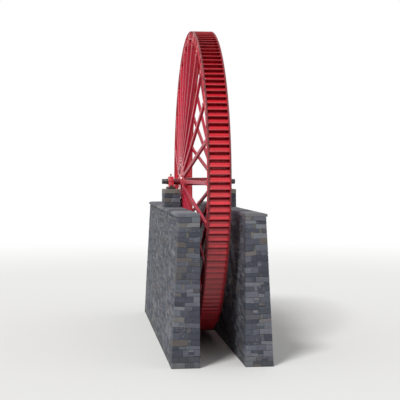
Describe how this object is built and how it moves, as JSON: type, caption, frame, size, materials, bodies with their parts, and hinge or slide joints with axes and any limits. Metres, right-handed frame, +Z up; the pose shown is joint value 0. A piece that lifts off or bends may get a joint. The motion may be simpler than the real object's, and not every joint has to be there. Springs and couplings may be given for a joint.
{
  "type": "water wheel",
  "caption": "Large red water wheel with elbow buckets in an iron-shrouded rim on leaning arms, turning in bearings on the two stone walls of its pit.",
  "frame": {"origin": "on the foot of the pit walls, under the middle of the axle", "axes": "+X along the pit, towards the picture's camera; +Y along the axle, away from the face that the picture shows; +Z up"},
  "size_m": [17.2, 4.5, 15.695],
  "materials": {
    "rubble": "coursed slate rubble in lime mortar",
    "coping": "split slate slabs, weathered",
    "dressed_stone": "tooled granite",
    "bed_iron": "dark paint, rust at the edges",
    "red_iron": "gloss red paint",
    "shroud_iron": "gloss red paint, weathered",
    "axle_iron": "red paint, journals bright",
    "brass": "dull, oiled",
    "red_timber": "gloss red paint on timber",
    "sole_boards": "red paint on boards, water stained",
    "bucket_boards": "red paint on boards, water stained"
  },
  "bodies": {
    "pit": {"wall_front": "rubble", "wall_back": "rubble", "coping_front": "coping", "coping_back": "coping", "pier_front": "rubble", "pier_back": "rubble", "bed_stone_front": "dressed_stone", "bed_stone_back": "dressed_stone", "bed_plate_front": "bed_iron", "bed_plate_back": "bed_iron", "wedges_front": "bed_iron", "wedges_back": "bed_iron", "bearing_base_front": "red_iron", "bearing_base_back": "red_iron", "bearing_cap_front": "red_iron", "bearing_cap_back": "red_iron", "brasses_front": "brass", "brasses_back": "brass"},
    "wheel": {"axle": "axle_iron", "hub_front": "red_iron", "hub_back": "red_iron", "arms_front": "red_timber", "arms_back": "red_timber", "rim_shoes_front": "red_iron", "rim_shoes_back": "red_iron", "shroud_front": "shroud_iron", "shroud_back": "shroud_iron", "joint_plates_front": "red_iron", "joint_plates_back": "red_iron", "sole_planks_1": "sole_boards", "sole_planks_2": "sole_boards", "sole_planks_3": "sole_boards", "sole_planks_4": "sole_boards", "bucket_risers_1": "bucket_boards", "bucket_risers_2": "bucket_boards", "bucket_risers_3": "bucket_boards", "bucket_risers_4": "bucket_boards", "bucket_fronts_1": "bucket_boards", "bucket_fronts_2": "bucket_boards", "bucket_fronts_3": "bucket_boards", "bucket_fronts_4": "bucket_boards"}
  },
  "joints": [
    {"name": "wheel_spin", "type": "hinge", "parent": "pit", "child": "wheel", "pos_m": [0, 0, 8], "axis": [0, -1, 0], "continuous": true}
  ]
}
